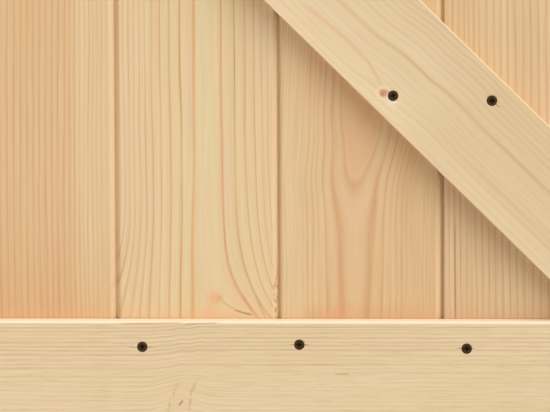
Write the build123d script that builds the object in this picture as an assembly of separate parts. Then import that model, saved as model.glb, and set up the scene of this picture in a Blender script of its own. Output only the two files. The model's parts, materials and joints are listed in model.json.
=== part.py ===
from build123d import *
import math
import os

os.makedirs("parts", exist_ok=True)

# A sliding barn door of softwood boards, hung from a flat steel track on a header board.
# Sizes are in millimetres. X runs along the track, Y from the room to the wall, Z up.
# The part stands with its floor guide on Z 0, with the door shut, at the left end of its travel.

# Door leaf
leaf_width = 900.0
leaf_height = 2140.0
floor_gap = 12.0

# Tongued and grooved boards with a vee at each joint on the face
board_cover = 130.0
board_thickness = 15.0
least_end_board = 45.0
vee_width = 3.3
tongue_length = 8.0
tongue_thickness = 5.0
tongue_play = 0.2
groove_spare = 1.0
shoulder_gap = 0.3
end_easing = 1.0

# Rails and braces, screwed to the face of the boards
rail_width = 140.0
rail_thickness = 18.0
rail_arris = 2.5
brace_width = 85.0
brace_arris = 1.2
brace_corner_inset = 11.4

# Wood screws, driven from the face until the head is all but flush
screw_head_radius = 4.1
screw_head_depth = 3.4
screw_neck_radius = 1.9
screw_length = 30.0
screw_proud = 0.15
screw_sides = 8
rail_screw_edge = 20.0
rail_screw_side = 20.0
brace_screw_edge = 17.0
brace_screw_side = 38.5
# The screws were set by eye: how far each wanders along and across the wood, in turn
screw_wander = ((-2.0, 0.8), (1.2, -0.6), (0.3, 1.1), (3.3, -0.5), (-2.3, 1.4), (-0.7, -1.5), (2.2, 0.5))

# Header board, to which the track is screwed
wall_gap = 16.0
header_height = 140.0
header_thickness = 28.0
header_overhang = 35.0
header_easing = 2.0
header_hole_radius = 4.5
header_hole_end = 60.0
header_hole_edge = 25.0

# Flat track, held off the header by spacers
track_height = 40.0
track_thickness = 6.0
track_clear = 11.0
track_screw_count = 4
track_screw_end = 30.0
track_screw_grip = 24.0
spacer_radius = 10.0

# Coach screws, which bite into the wood of the header and of the top rail
coach_radius = 4.0
coach_clear = 0.3
coach_head_across = 13.0
coach_head_height = 5.5

# Floor guide, a folded steel channel in which the leaf runs
guide_length = 50.0
guide_height = 38.0
guide_steel = 3.0
guide_play = 0.6
guide_margin = 5.0
guide_hole_radius = 2.75
guide_hole_spacing = 30.0
guide_bend = 1.5

# Hangers: a strap, a grooved wheel, its bearing and its axle
hanger_inset = 120.0
strap_width = 40.0
strap_thickness = 5.0
strap_corner = 8.0
strap_tail = 28.0
strap_screw_first = 40.0
strap_screw_pitch = 65.0
strap_screw_wood_past = 1.0
wheel_radius = 45.0
wheel_groove_radius = 37.0
wheel_width = 24.0
groove_side_play = 0.6
wheel_side_clear = 2.0
wheel_seat_gap = 0.2
bearing_radius = 14.0
bearing_width = 16.0
axle_radius = 6.0
running_clear = 0.05
bearing_face_clear = 0.2
axle_collar_radius = 9.0
axle_head_across = 18.0
axle_head_height = 7.5
axle_nut_across = 18.0
axle_nut_height = 9.0
axle_past_nut = 1.5

# Blocks on top of the leaf that keep the wheels from jumping off the track
jump_block_length = 44.0
jump_block_width = 14.0
jump_block_height = 8.0
jump_block_inset = 195.0
jump_block_easing = 2.0
jump_screw_clear = 0.2
jump_screw_pitch = 24.0
jump_screw_from_seam = 6.0

# End stops, clamped over the top edge of the track
stop_length = 34.0
stop_wall = 6.0
stop_leg = 22.0
stop_play = 0.15
stop_easing = 1.5
stop_gap = 0.5
stop_past = 50.0
bumper_length = 8.0
bumper_height = 24.0
bumper_margin = 1.0
bumper_easing = 2.0
set_screw_radius = 3.0
set_screw_head_across = 10.0
set_screw_head_height = 3.5
set_screw_drop = 11.0

# Planes in depth, from the back of the boards forward and then to the wall
leaf_back = 0.0
board_front = leaf_back - board_thickness
rail_front = board_front - rail_thickness
strap_front = rail_front - strap_thickness
wheel_front = rail_front + wheel_side_clear
wheel_mid = wheel_front + wheel_width / 2
wheel_back = wheel_front + wheel_width
track_front = wheel_mid - track_thickness / 2
track_back = wheel_mid + track_thickness / 2
header_front = leaf_back + wall_gap
header_back = header_front + header_thickness
depth_middle = (strap_front - axle_head_height + header_back) / 2

# Levels
leaf_bottom = floor_gap
leaf_top = leaf_bottom + leaf_height
middle_rail_bottom = leaf_bottom + (leaf_height - rail_width) / 2
middle_rail_top = middle_rail_bottom + rail_width
top_rail_bottom = leaf_top - rail_width
bottom_rail_top = leaf_bottom + rail_width
track_bottom = leaf_top + track_clear
track_middle = track_bottom + track_height / 2
track_top = track_bottom + track_height
axle_level = track_top + wheel_seat_gap + wheel_groove_radius
strap_screw_levels = (leaf_top - strap_screw_first, leaf_top - strap_screw_first - strap_screw_pitch)

# Places along the track
leaf_half = leaf_width / 2
travel = leaf_width - guide_length - 2 * guide_margin
leaf_at_rest = -travel / 2
hanger_x = leaf_half - hanger_inset
bumper_face = travel / 2 + hanger_x + wheel_radius + stop_gap
stop_start = bumper_face + bumper_length
track_half = stop_start + stop_length + stop_past
header_half = track_half + header_overhang
track_screw_reach = track_half - track_screw_end
track_screw_pitch = 2 * track_screw_reach / (track_screw_count - 1)
track_screw_places = [i * track_screw_pitch - track_screw_reach for i in range(track_screw_count)]


def save(node, solids, along=0.0):
    """Write one node, moved so that the part's middle depth is at Y 0."""
    placed = [Pos(along, -depth_middle, 0) * solid for solid in solids]
    shape = placed[0] if len(placed) == 1 else Compound(children=placed)
    export_step(shape, os.path.join("parts", node + ".step"))


def turned(points, x, z):
    """A piece turned about a line along Y. The points are (radius, depth)."""
    outline = make_face(Polyline(*points, close=True))
    return Pos(x, 0, z) * revolve(outline, Axis.Y)


def rod(radius, start, end, x, z):
    """A plain round bar along Y."""
    return turned([(0, start), (radius, start), (radius, end), (0, end)], x, z)


def ring(inner, outer, start, end, x, z):
    """A washer or tube along Y."""
    return turned([(inner, start), (outer, start), (outer, end), (inner, end)], x, z)


def hexagon(across, start, end, x, z):
    """A six-sided bar along Y, with a flat at the top."""
    face = Plane((x, start, z), x_dir=(1, 0, 0), z_dir=(0, 1, 0)) * RegularPolygon(across / 2, 6, False)
    return extrude(face, end - start)


def block(x0, x1, y0, y1, z0, z1):
    """A box between two corners."""
    return Pos((x0 + x1) / 2, (y0 + y1) / 2, (z0 + z1) / 2) * Box(x1 - x0, y1 - y0, z1 - z0)


def coach_screw(seat, end, x, z):
    """A hexagon-headed screw along Y, without its thread, with its head in front of the seat."""
    head = hexagon(coach_head_across, seat - coach_head_height, seat, x, z)
    return head + rod(coach_radius, seat, end, x, z)


def long_edges(solid, axis):
    """The edges of a solid that run along X and lie lowest on another axis."""
    return solid.edges().filter_by(Axis.X).group_by(axis)[0]


def wood_screw():
    """A flat-headed screw along Y with its top at 0, without its thread, eight-sided to keep it light."""
    turns = [2 * math.pi * (i + 0.5) / screw_sides for i in range(screw_sides)]
    circle = [(math.cos(turn), math.sin(turn)) for turn in turns]
    rim = [(screw_head_radius * x, 0, screw_head_radius * z) for x, z in circle]
    neck = [(screw_neck_radius * x, screw_head_depth, screw_neck_radius * z) for x, z in circle]
    return ConvexPolyhedron(rim + neck) + ConvexPolyhedron(neck + [(0, screw_length, 0)])


# Boards
full_boards = int((leaf_width - 2 * least_end_board) / board_cover)
joints = [(i - full_boards / 2) * board_cover for i in range(full_boards + 1)]
board_sides = [-leaf_half] + joints + [leaf_half]
board_spans = list(zip(board_sides, board_sides[1:]))
tongue_mid = (board_front + leaf_back) / 2


def grooved_side(joint):
    """The section's corners at a board's left joint, from the back to the face."""
    shoulder = joint + shoulder_gap / 2
    half = tongue_thickness / 2 + tongue_play
    floor = shoulder + tongue_length + groove_spare
    return [
        (shoulder, leaf_back),
        (shoulder, tongue_mid + half),
        (floor, tongue_mid + half),
        (floor, tongue_mid - half),
        (shoulder, tongue_mid - half),
        (shoulder, board_front + vee_width),
        (shoulder + vee_width, board_front),
    ]


def tongued_side(joint):
    """The section's corners at a board's right joint, from the face to the back."""
    shoulder = joint - shoulder_gap / 2
    half = tongue_thickness / 2
    return [
        (shoulder - vee_width, board_front),
        (shoulder, board_front + vee_width),
        (shoulder, tongue_mid - half),
        (shoulder + tongue_length, tongue_mid - half),
        (shoulder + tongue_length, tongue_mid + half),
        (shoulder, tongue_mid + half),
        (shoulder, leaf_back),
    ]


def sawn_side(edge, inward):
    """The section's corners at an outer edge of the leaf, from the back to the face."""
    return [(edge, leaf_back), (edge, board_front + end_easing), (edge + inward * end_easing, board_front)]


def board(left, right):
    """One board: groove at its left joint, tongue at its right, and sawn edges on the outside."""
    left_side = sawn_side(left, 1) if left == -leaf_half else grooved_side(left)
    right_side = sawn_side(right, -1)[::-1] if right == leaf_half else tongued_side(right)
    section = make_face(Polyline(*left_side, *right_side, close=True))
    return Pos(0, 0, leaf_bottom) * extrude(section, leaf_height)


for number, (left, right) in enumerate(board_spans, 1):
    save(f"board_{number}", [board(left, right)], leaf_at_rest)


# Rails
def rail(bottom):
    """A flat rail across the leaf, its two front arrises rounded over."""
    blank = block(-leaf_half, leaf_half, rail_front, board_front, bottom, bottom + rail_width)
    return fillet(long_edges(blank, Axis.Y), rail_arris)


save("top_rail", [rail(top_rail_bottom)], leaf_at_rest)
save("middle_rail", [rail(middle_rail_bottom)], leaf_at_rest)
save("bottom_rail", [rail(leaf_bottom)], leaf_at_rest)

# Braces, each falling from upper left to lower right between two rails
brace_run = leaf_width - 2 * brace_corner_inset
panel_height = top_rail_bottom - middle_rail_top
brace_angle = math.atan2(panel_height, brace_run)


def brace(bottom):
    """A diagonal board trimmed to the rails and to the edges of the leaf."""
    blank = Box(2 * math.hypot(brace_run, panel_height), rail_thickness, brace_width)
    strip = Rot(0, math.degrees(brace_angle), 0) * fillet(long_edges(blank, Axis.Y), brace_arris)
    panel = block(-leaf_half, leaf_half, rail_front, board_front, bottom, bottom + panel_height)
    return panel & (Pos(0, (rail_front + board_front) / 2, bottom + panel_height / 2) * strip)


def brace_level(x, bottom, offset):
    """The height at x of a line along the brace, offset square to it from its centreline."""
    drop = (leaf_half - brace_corner_inset - x) * math.tan(brace_angle)
    return bottom + drop + offset / math.cos(brace_angle)


save("upper_brace", [brace(middle_rail_top)], leaf_at_rest)
save("lower_brace", [brace(bottom_rail_top)], leaf_at_rest)


# Wood screws
def drive(places):
    """A wood screw at each place on the face of the rails and braces."""
    pattern = wood_screw()
    return [Pos(x, rail_front - screw_proud, z) * pattern for x, z in places]


def wander(turn):
    """How far the given screw is off its mark, along X and Z."""
    return screw_wander[turn % len(screw_wander)]


def rail_screws(bottom):
    """Two screws in each board: the upper one near its left edge, the lower one near its right edge."""
    places = []
    for turn, (left, right) in enumerate(board_spans):
        side = min(rail_screw_side, (right - left) / 2)
        upper_x, upper_z = wander(turn - 1)
        lower_x, lower_z = wander(turn + 2)
        places.append((left + side + upper_x, bottom + rail_width - rail_screw_edge + upper_z))
        places.append((right - side + lower_x, bottom + rail_screw_edge + lower_z))
    return drive(places)


def brace_screws(bottom):
    """One screw in each board, by turns near the lower and the upper edge of the brace."""
    reach = brace_width / 2 - brace_screw_edge
    places = []
    for turn, (left, right) in enumerate(board_spans):
        if turn == 0 or turn == len(board_spans) - 1:
            x, offset = (left + right) / 2, 0
        elif turn % 2:
            x, offset = right - brace_screw_side, -reach
        else:
            x, offset = left + brace_screw_side, reach
        places.append((x, brace_level(x, bottom, offset)))
    return drive(places)


save("top_rail_screws", rail_screws(top_rail_bottom), leaf_at_rest)
save("middle_rail_screws", rail_screws(middle_rail_bottom), leaf_at_rest)
save("bottom_rail_screws", rail_screws(leaf_bottom), leaf_at_rest)
save("upper_brace_screws", brace_screws(middle_rail_top), leaf_at_rest)
save("lower_brace_screws", brace_screws(bottom_rail_top), leaf_at_rest)

# Hangers: depths along the axle, which the wheel's middle sets
bearing_front = wheel_mid - bearing_width / 2
bearing_back = wheel_mid + bearing_width / 2
axle_nut_start = bearing_back + bearing_face_clear
axle_nut_end = axle_nut_start + axle_nut_height


def strap(x):
    """A flat bar from the top rail up to the axle, round at the top."""
    tail = strap_screw_levels[-1] - strap_tail
    bar = Pos(0, (tail + axle_level) / 2) * Rectangle(strap_width, axle_level - tail)
    bar = chamfer(bar.vertices().group_by(Axis.Y)[0], strap_corner)
    bar += Pos(0, axle_level) * Circle(strap_width / 2)
    bar -= Pos(0, axle_level) * Circle(axle_radius + running_clear)
    for level in strap_screw_levels:
        bar -= Pos(0, level) * Circle(coach_radius + coach_clear)
    return extrude(Plane((x, rail_front, 0), x_dir=(1, 0, 0), z_dir=(0, -1, 0)) * bar, strap_thickness)


def wheel(x):
    """A moulded wheel with a groove for the track and a straight seat for its bearing."""
    seat = bearing_radius + running_clear
    groove_half = track_thickness / 2 + groove_side_play
    outline = [
        (seat, wheel_front),
        (wheel_radius, wheel_front),
        (wheel_groove_radius, wheel_mid - groove_half),
        (wheel_groove_radius, wheel_mid + groove_half),
        (wheel_radius, wheel_back),
        (seat, wheel_back),
    ]
    return turned(outline, x, axle_level)


def bearing(x):
    """The sealed bearing in the middle of the wheel."""
    return ring(axle_radius + running_clear, bearing_radius, bearing_front, bearing_back, x, axle_level)


def axle_bolt(x):
    """The bolt that carries the bearing."""
    head = hexagon(axle_head_across, strap_front - axle_head_height, strap_front, x, axle_level)
    return head + rod(axle_radius, strap_front, axle_nut_end + axle_past_nut, x, axle_level)


def axle_collar(x):
    """The collar that holds the bearing off the strap."""
    end = bearing_front - bearing_face_clear
    return ring(axle_radius + running_clear, axle_collar_radius, rail_front, end, x, axle_level)


def axle_nut(x):
    """The lock nut behind the bearing."""
    body = hexagon(axle_nut_across, axle_nut_start, axle_nut_end, x, axle_level)
    return body - rod(axle_radius, axle_nut_start, axle_nut_end, x, axle_level)


for name, x in (("left", -hanger_x), ("right", hanger_x)):
    save(f"{name}_hanger_strap", [strap(x)], leaf_at_rest)
    save(f"{name}_wheel", [wheel(x)], leaf_at_rest)

hanger_pair = (-hanger_x, hanger_x)
strap_screw_end = board_front - strap_screw_wood_past
strap_screw_places = [(x, z) for x in hanger_pair for z in strap_screw_levels]
strap_screws = [coach_screw(strap_front, strap_screw_end, x, z) for x, z in strap_screw_places]
save("hanger_screws", strap_screws, leaf_at_rest)
save("wheel_bearings", [bearing(x) for x in hanger_pair], leaf_at_rest)
save("axle_bolts", [axle_bolt(x) for x in hanger_pair], leaf_at_rest)
save("axle_collars", [axle_collar(x) for x in hanger_pair], leaf_at_rest)
save("axle_nuts", [axle_nut(x) for x in hanger_pair], leaf_at_rest)

# Blocks on top of the leaf
jump_block_x = leaf_half - jump_block_inset
jump_block_top = leaf_top + jump_block_height
jump_screw_y = board_front - jump_screw_from_seam


def jump_screws(x, grown=0.0):
    """A block's two screws, driven down into the rail, or with a growth the seats that clear them."""
    screw = scale(Rot(-90, 0, 0) * wood_screw(), 1 + grown / screw_head_radius)
    places = (x - jump_screw_pitch / 2, x + jump_screw_pitch / 2)
    return [Pos(place, jump_screw_y, jump_block_top) * screw for place in places]


def jump_block(x):
    """A moulded block under the track."""
    body = Box(jump_block_length, jump_block_width, jump_block_height)
    body = chamfer(body.edges().filter_by(Axis.Z), jump_block_easing)
    return Pos(x, wheel_mid, leaf_top + jump_block_height / 2) * body - jump_screws(x, jump_screw_clear)


jump_pair = (-jump_block_x, jump_block_x)
save("anti_jump_blocks", [jump_block(x) for x in jump_pair], leaf_at_rest)
save("anti_jump_screws", [screw for x in jump_pair for screw in jump_screws(x)], leaf_at_rest)

# Track, spacers and screws
track_hole_radius = coach_radius + coach_clear


def at_track_screws(make, *sizes):
    """One piece along Y at each screw of the track."""
    return [make(*sizes, x, track_middle) for x in track_screw_places]


track = block(-track_half, track_half, track_front, track_back, track_bottom, track_top)
save("track", [track - at_track_screws(rod, track_hole_radius, track_front, track_back)])
save("track_spacers", at_track_screws(ring, track_hole_radius, spacer_radius, track_back, header_front))
save("track_screws", at_track_screws(coach_screw, track_front, header_front + track_screw_grip))

# Header board with its own fixing holes
header_bottom = track_middle - header_height / 2
header_top = track_middle + header_height / 2
header = block(-header_half, header_half, header_front, header_back, header_bottom, header_top)
header = chamfer(long_edges(header, Axis.Y), header_easing)
header_hole_x = header_half - header_hole_end
header_hole_rise = header_height / 2 - header_hole_edge
for x in (-header_hole_x, header_hole_x):
    for z in (track_middle - header_hole_rise, track_middle + header_hole_rise):
        header -= rod(header_hole_radius, header_front, header_back, x, z)
save("header_board", [header])

# End stops with their bumpers and set screws
stop_front = track_front - stop_play - stop_wall
stop_back = track_back + stop_play + stop_wall
stop_bottom = track_top - stop_leg
stop_top = axle_level + bumper_height / 2 + bumper_margin
set_screw_level = track_top - set_screw_drop
set_screw_x = stop_start + stop_length / 2


def end_stop(side):
    """A block that straddles the track."""
    inner, outer = sorted((side * stop_start, side * (stop_start + stop_length)))
    body = block(inner, outer, stop_front, stop_back, stop_bottom, stop_top)
    body = chamfer(body.edges().filter_by(Axis.X), stop_easing)
    return body - block(
        inner, outer, track_front - stop_play, track_back + stop_play, stop_bottom, track_top + stop_play
    )


def bumper(side):
    """A rubber pad on the side of the stop that the wheel meets, at the height of the axle."""
    pad = Box(bumper_length, stop_back - stop_front - 2 * bumper_margin, bumper_height)
    pad = chamfer(pad.edges().group_by(Axis.X)[0], bumper_easing)
    seat = Pos(side * (bumper_face + bumper_length / 2), wheel_mid, axle_level)
    return seat * Rot(0, 0, 90 - 90 * side) * pad


def set_screw(side):
    """The screw that clamps a stop to the track."""
    x = side * set_screw_x
    seat = stop_front
    head = hexagon(set_screw_head_across, seat - set_screw_head_height, seat, x, set_screw_level)
    return head + rod(set_screw_radius, seat, track_front, x, set_screw_level)


save("end_stops", [end_stop(-1), end_stop(1)])
save("stop_bumpers", [bumper(-1), bumper(1)])
save("stop_set_screws", [set_screw(-1), set_screw(1)])

# Floor guide, folded from one strip of steel, with two holes for its floor screws
guide_half = guide_length / 2
guide_inner_front = rail_front - guide_play
guide_inner_back = leaf_back + guide_play
guide_outer_front = guide_inner_front - guide_steel
guide_outer_back = guide_inner_back + guide_steel
guide_middle = (guide_inner_front + guide_inner_back) / 2

guide = block(-guide_half, guide_half, guide_outer_front, guide_outer_back, 0, guide_height)
guide = fillet(long_edges(guide, Axis.Z), guide_bend + guide_steel)
channel_top = guide_height + guide_steel
channel = block(-guide_half, guide_half, guide_inner_front, guide_inner_back, guide_steel, channel_top)
guide -= fillet(long_edges(channel, Axis.Z), guide_bend)
for x in (-guide_hole_spacing / 2, guide_hole_spacing / 2):
    guide -= Pos(x, guide_middle, guide_steel / 2) * Cylinder(guide_hole_radius, guide_steel)
save("floor_guide", [guide])
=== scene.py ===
import bpy
import bmesh
import json
import math
import random
from mathutils import Matrix, Vector

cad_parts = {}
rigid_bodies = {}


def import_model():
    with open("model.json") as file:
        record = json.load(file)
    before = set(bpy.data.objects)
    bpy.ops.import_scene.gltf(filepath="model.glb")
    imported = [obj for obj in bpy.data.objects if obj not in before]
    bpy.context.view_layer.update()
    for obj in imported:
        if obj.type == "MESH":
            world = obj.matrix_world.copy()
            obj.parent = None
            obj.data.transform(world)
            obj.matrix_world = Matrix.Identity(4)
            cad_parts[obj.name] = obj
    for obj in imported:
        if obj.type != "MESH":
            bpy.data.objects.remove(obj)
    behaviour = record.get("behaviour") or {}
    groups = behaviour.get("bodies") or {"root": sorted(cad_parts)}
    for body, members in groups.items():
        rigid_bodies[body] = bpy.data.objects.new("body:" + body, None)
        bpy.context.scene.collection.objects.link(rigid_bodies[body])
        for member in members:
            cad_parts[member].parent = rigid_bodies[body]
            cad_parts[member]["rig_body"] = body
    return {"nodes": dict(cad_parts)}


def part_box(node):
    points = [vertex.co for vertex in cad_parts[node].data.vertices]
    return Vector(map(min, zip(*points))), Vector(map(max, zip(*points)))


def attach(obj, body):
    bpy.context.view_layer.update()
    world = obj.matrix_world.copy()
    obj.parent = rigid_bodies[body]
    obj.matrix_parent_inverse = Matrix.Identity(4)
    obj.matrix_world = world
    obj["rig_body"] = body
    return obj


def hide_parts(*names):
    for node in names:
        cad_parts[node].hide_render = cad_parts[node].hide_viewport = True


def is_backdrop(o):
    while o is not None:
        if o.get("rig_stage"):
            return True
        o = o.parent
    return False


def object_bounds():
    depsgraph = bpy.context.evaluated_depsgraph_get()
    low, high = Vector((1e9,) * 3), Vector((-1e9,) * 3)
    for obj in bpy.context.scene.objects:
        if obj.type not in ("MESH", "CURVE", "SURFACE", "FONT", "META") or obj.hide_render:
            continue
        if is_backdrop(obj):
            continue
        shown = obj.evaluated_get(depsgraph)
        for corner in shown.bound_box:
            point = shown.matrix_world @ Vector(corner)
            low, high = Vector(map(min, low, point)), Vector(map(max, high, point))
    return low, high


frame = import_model()
cadLow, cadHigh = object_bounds()
nodes = frame["nodes"]
mm = 0.001


# Numbers that run through a material, with Python's own operators as Math nodes
class Flow:
    def __init__(self, recipe, socket):
        self.recipe = recipe
        self.socket = socket

    def __add__(self, other):
        return self.recipe.maths("ADD", self, other)

    def __sub__(self, other):
        return self.recipe.maths("SUBTRACT", self, other)

    def __rsub__(self, other):
        return self.recipe.maths("SUBTRACT", other, self)

    def __mul__(self, other):
        return self.recipe.maths("MULTIPLY", self, other)

    def __truediv__(self, other):
        return self.recipe.maths("DIVIDE", self, other)

    def __rtruediv__(self, other):
        return self.recipe.maths("DIVIDE", other, self)

    def __pow__(self, other):
        return self.recipe.maths("POWER", self, other)

    __radd__ = __add__
    __rmul__ = __mul__

    def ease(self, low, high):  # 0 below low, 1 above high, smooth between
        sockets = {"Value": self, "From Min": low, "From Max": high}
        return self.recipe.node("ShaderNodeMapRange", {"interpolation_type": "SMOOTHSTEP"}, sockets)

    def bell(self, middle, width):
        off = (self - middle) / width
        return self.recipe.maths("EXPONENT", off * off * -1)


# One material and its node tree
class Recipe:
    def __init__(self, name):
        self.material = bpy.data.materials.new(name)
        self.material.use_nodes = True
        self.tree = self.material.node_tree
        self.tree.nodes.clear()

    def node(self, kind, settings, sockets, output=0):
        made = self.tree.nodes.new(kind)
        for name, value in settings.items():
            if name == "stops":
                self.setStops(made.color_ramp, value)
            else:
                setattr(made, name, value)
        for name, value in sockets.items():
            if isinstance(value, Flow):
                self.tree.links.new(value.socket, made.inputs[name])
            else:
                made.inputs[name].default_value = value
        return Flow(self, made.outputs[output]) if made.outputs else None

    def setStops(self, ramp, stops):
        while len(ramp.elements) < len(stops):
            ramp.elements.new(1)
        for element, (place, value) in zip(ramp.elements, stops):
            element.position = place
            element.color = (value, value, value, 1)

    def maths(self, operation, *values):
        return self.node("ShaderNodeMath", {"operation": operation}, dict(enumerate(values)))

    def ramp(self, value, stops):
        return self.node("ShaderNodeValToRGB", {"stops": stops}, {"Fac": value})

    def join(self, x, y, z):
        return self.node("ShaderNodeCombineXYZ", {}, {"X": x, "Y": y, "Z": z})

    def noise(self, x, y, z, detail=2.0, rough=0.5):
        sockets = {"Vector": self.join(x, y, z), "Scale": 1.0, "Detail": detail, "Roughness": rough}
        return self.node("ShaderNodeTexNoise", {}, sockets)

    def blendColours(self, factor, first, second, mode="MIX"):
        settings = {"data_type": "RGBA", "blend_type": mode, "clamp_factor": True}
        return self.node("ShaderNodeMix", settings, {0: factor, 6: first, 7: second}, 2)

    def layered(self, body, layers):  # lays colours over the body, each as how much of it and the colour
        for mask, colour in layers:
            body = self.blendColours(mask, body, colour)
        return body

    def place(self, shift, turn=(0, 0, 0)):  # the piece's own place in millimetres, as three numbers
        where = self.node("ShaderNodeTexCoord", {}, {}, 3)
        sockets = {"Vector": where, "Location": shift, "Rotation": turn, "Scale": (1000, 1000, 1000)}
        moved = self.node("ShaderNodeMapping", {}, sockets)
        return [self.node("ShaderNodeSeparateXYZ", {}, {"Vector": moved}, i) for i in range(3)]

    def finish(self, colour, roughness, bump=None, **sockets):
        settings = {"Base Color": colour, "Roughness": roughness, **sockets}
        if bump:
            settings["Normal"] = bump
        shader = self.node("ShaderNodeBsdfPrincipled", {}, settings)
        self.node("ShaderNodeOutputMaterial", {}, {"Surface": shader})
        return self.material

    def bump(self, height, distance, strength=1.0):
        sockets = {"Height": height, "Distance": distance, "Strength": strength}
        return self.node("ShaderNodeBump", {}, sockets)


def shade(red, green, blue):  # a colour as it looks on a screen, from 0 to 255
    parts = [part / 255 for part in (red, green, blue)]
    return (*[p / 12.92 if p <= 0.04045 else ((p + 0.055) / 1.055) ** 2.4 for p in parts], 1)


# The camera stands a little right of the picture's middle and looks down by less than three degrees
camera = {
    "at": (-239.0, -1393.85, 1305.1),
    "yaw": -2.195,
    "pitch": -2.610,
    "roll": -0.174,
    "lens": 113.54,
    "clip": (0.05, 100),
}


def setCamera():
    data = bpy.data.cameras.new("camera")
    data.lens = camera["lens"]
    data.clip_start, data.clip_end = camera["clip"]
    made = bpy.data.objects.new("camera", data)
    bpy.context.scene.collection.objects.link(made)
    turn = Matrix.Rotation(math.radians(-camera["yaw"]), 4, "Z")
    tip = Matrix.Rotation(math.radians(90 + camera["pitch"]), 4, "X")
    roll = Matrix.Rotation(math.radians(camera["roll"]), 4, "Z")
    made.matrix_world = Matrix.Translation(Vector(camera["at"]) * mm) @ turn @ tip @ roll
    bpy.context.scene.camera = made


light = {
    "sky": 0.163,
    "seenSky": 0.85,
    # Each lamp: strength, degrees to the right of straight ahead, degrees above the level, spread
    "lamps": {"key": (1.96, 33, 41, 62), "top": (0.99, 4, 72, 34), "back": (1.25, 215, 35, 60)},
}


def addSun(name, strength, side, height, spread):
    data = bpy.data.lights.new(name, "SUN")
    data.energy = strength
    data.angle = math.radians(spread)
    lamp = bpy.data.objects.new(name, data)
    bpy.context.scene.collection.objects.link(lamp)
    a, e = math.radians(side), math.radians(height)
    towards = Vector((math.sin(a) * math.cos(e), -math.cos(a) * math.cos(e), math.sin(e)))
    lamp.rotation_mode = "QUATERNION"
    lamp.rotation_quaternion = towards.to_track_quat("Z", "Y")
    lamp.location = towards * 5


def setLight():
    for name, settings in light["lamps"].items():
        addSun(name, *settings)
    world = bpy.data.worlds.new("world")
    world.use_nodes = True
    tree = world.node_tree
    sky = tree.nodes["Background"]
    sky.inputs["Color"].default_value = (1, 1, 1, 1)
    rays = tree.nodes.new("ShaderNodeLightPath")  # the sky looks pale, also in reflections, and lights softly
    seen = rays.outputs["Is Camera Ray"]
    for kind in ("Is Glossy Ray", "Is Transmission Ray"):
        either = tree.nodes.new("ShaderNodeMath")
        either.operation = "MAXIMUM"
        tree.links.new(seen, either.inputs[0])
        tree.links.new(rays.outputs[kind], either.inputs[1])
        seen = either.outputs[0]
    strength = tree.nodes.new("ShaderNodeMapRange")
    strength.inputs["To Min"].default_value = light["sky"]
    strength.inputs["To Max"].default_value = light["seenSky"]
    tree.links.new(seen, strength.inputs["Value"])
    tree.links.new(strength.outputs[0], sky.inputs["Strength"])
    bpy.context.scene.world = world


floorLook = {
    "reach": 60,
    "paint": (0.78, 0.77, 0.75, 1),
    "stain": (0.7, 0.69, 0.67, 1),
    "stainSize": 900,
    "stainAmount": 0.2,
    "roughness": 0.7,
}


def setFloor():
    shape = bmesh.new()
    bmesh.ops.create_grid(shape, x_segments=1, y_segments=1, size=floorLook["reach"])
    mesh = bpy.data.meshes.new("floor")
    shape.to_mesh(mesh)
    shape.free()
    floor = bpy.data.objects.new("floor", mesh)
    bpy.context.scene.collection.objects.link(floor)
    recipe = Recipe("floor_paint")
    x, y, z = recipe.place((0, 0, 0))
    size = floorLook["stainSize"]
    mottle = recipe.noise(x / size, y / size, z) * floorLook["stainAmount"]
    colour = recipe.blendColours(mottle, floorLook["paint"], floorLook["stain"])
    mesh.materials.append(recipe.finish(colour, floorLook["roughness"]))
    floor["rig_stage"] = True


setCamera()
setLight()
setFloor()
bpy.context.scene.view_settings.view_transform = "Standard"
print("camera, lamps and floor are set")

# Shapes are made in millimetres, each as a bmesh, and shown in metres. Points nearer to each other than
# these are merged, and flat faces within so many degrees are made one
weld = {"spun": 0.001, "cad": 0.002, "flat": 0.5}


def move(shape, way):
    bmesh.ops.translate(shape, vec=way, verts=shape.verts)


def swing(shape, angle, axis):
    bmesh.ops.rotate(shape, cent=(0, 0, 0), matrix=Matrix.Rotation(angle, 3, axis), verts=shape.verts)


def bar(low, high):
    shape = bmesh.new()
    bmesh.ops.create_cube(shape, size=1)
    bmesh.ops.scale(shape, vec=Vector(high) - Vector(low), verts=shape.verts)
    move(shape, (Vector(high) + Vector(low)) / 2)
    return shape


def spun(points, at=(0, 0, 0), steps=48):  # points are (radius, depth along Y)
    shape = bmesh.new()
    verts = [shape.verts.new((radius, depth, 0)) for radius, depth in points]
    for first, second in zip(verts, verts[1:]):
        shape.edges.new((first, second))
    bmesh.ops.spin(shape, geom=shape.verts[:] + shape.edges[:], cent=(0, 0, 0), axis=(0, 1, 0),
                   dvec=(0, 0, 0), angle=2 * math.pi, steps=steps, use_merge=True, use_duplicate=False)
    bmesh.ops.remove_doubles(shape, verts=shape.verts, dist=weld["spun"])
    bmesh.ops.recalc_face_normals(shape, faces=shape.faces)
    move(shape, at)
    return shape


def drill(radius, start, end, at, steps=32):  # what a hole along Y takes away
    return spun([(0, start), (radius, start), (radius, end), (0, end)], at, steps)


def join(*shapes):
    whole = bmesh.new()
    for shape in shapes:
        mesh = bpy.data.meshes.new("part")
        shape.to_mesh(mesh)
        shape.free()
        whole.from_mesh(mesh)
        bpy.data.meshes.remove(mesh)
    return whole


def bend(shape, pick, width, segments):  # rounds or chamfers the edges that pick says yes to
    edges = [edge for edge in shape.edges if edge.is_manifold and pick(edge)]
    bmesh.ops.bevel(shape, geom=edges, offset=width, affect="EDGES", segments=segments, profile=0.5,
                    material=-1, clamp_overlap=True)
    return shape


def outer(least=25):
    return lambda edge: edge.is_convex and edge.calc_face_angle() > math.radians(least)


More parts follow.
